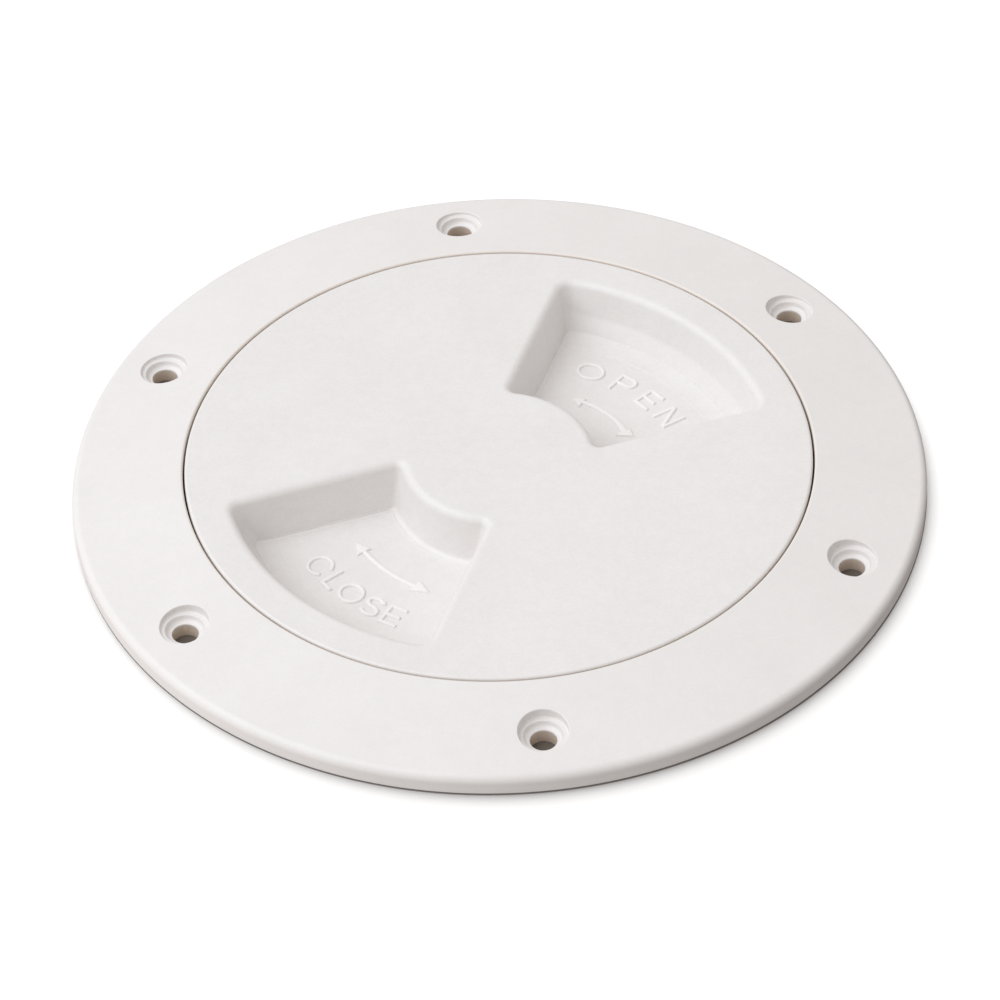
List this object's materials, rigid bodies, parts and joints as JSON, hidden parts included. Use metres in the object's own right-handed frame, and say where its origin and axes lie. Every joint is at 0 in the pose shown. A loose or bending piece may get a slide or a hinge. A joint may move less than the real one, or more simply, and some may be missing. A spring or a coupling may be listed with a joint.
{
  "type": "deck inspection plate",
  "caption": "Round screw-out deck plate: a crowned flange with stepped screw holes round a flush cover with two finger pockets, sealed by a rubber ring.",
  "frame": {"origin": "centre of the flange's underside, on the plane of the deck, and centre of the circle of screw holes", "axes": "+Z out of the deck along the axis that the cover turns about, the collar goes down through the deck towards -Z, the pocket marked OPEN lies towards +X +Y and the one marked CLOSE towards -X -Y"},
  "size_m": [0.204, 0.204, 0.0248],
  "materials": {
    "ring_plastic": "white moulded plastic, satin, fine moulded grain",
    "cover_plastic": "white moulded plastic, satin, fine moulded grain",
    "seal_rubber": "black rubber, dull"
  },
  "bodies": {
    "frame": {"deck_ring": "ring_plastic"},
    "seal": {"seal_ring": "seal_rubber"},
    "cover": {"screw_cover": "cover_plastic"}
  },
  "joints": [
    {"name": "cover_lift", "type": "slide", "parent": "frame", "child": "seal", "axis": [0, 0, 1], "range_m": [0, 0.0079]},
    {"name": "cover_turn", "type": "hinge", "parent": "seal", "child": "cover", "pos_m": [0, 0, 0], "axis": [0, 0, 1], "range_deg": [0, 315]}
  ],
  "couplings": [
    {"joint": "cover_lift", "follows": "cover_turn", "m_per_rad": 0.0014324}
  ]
}
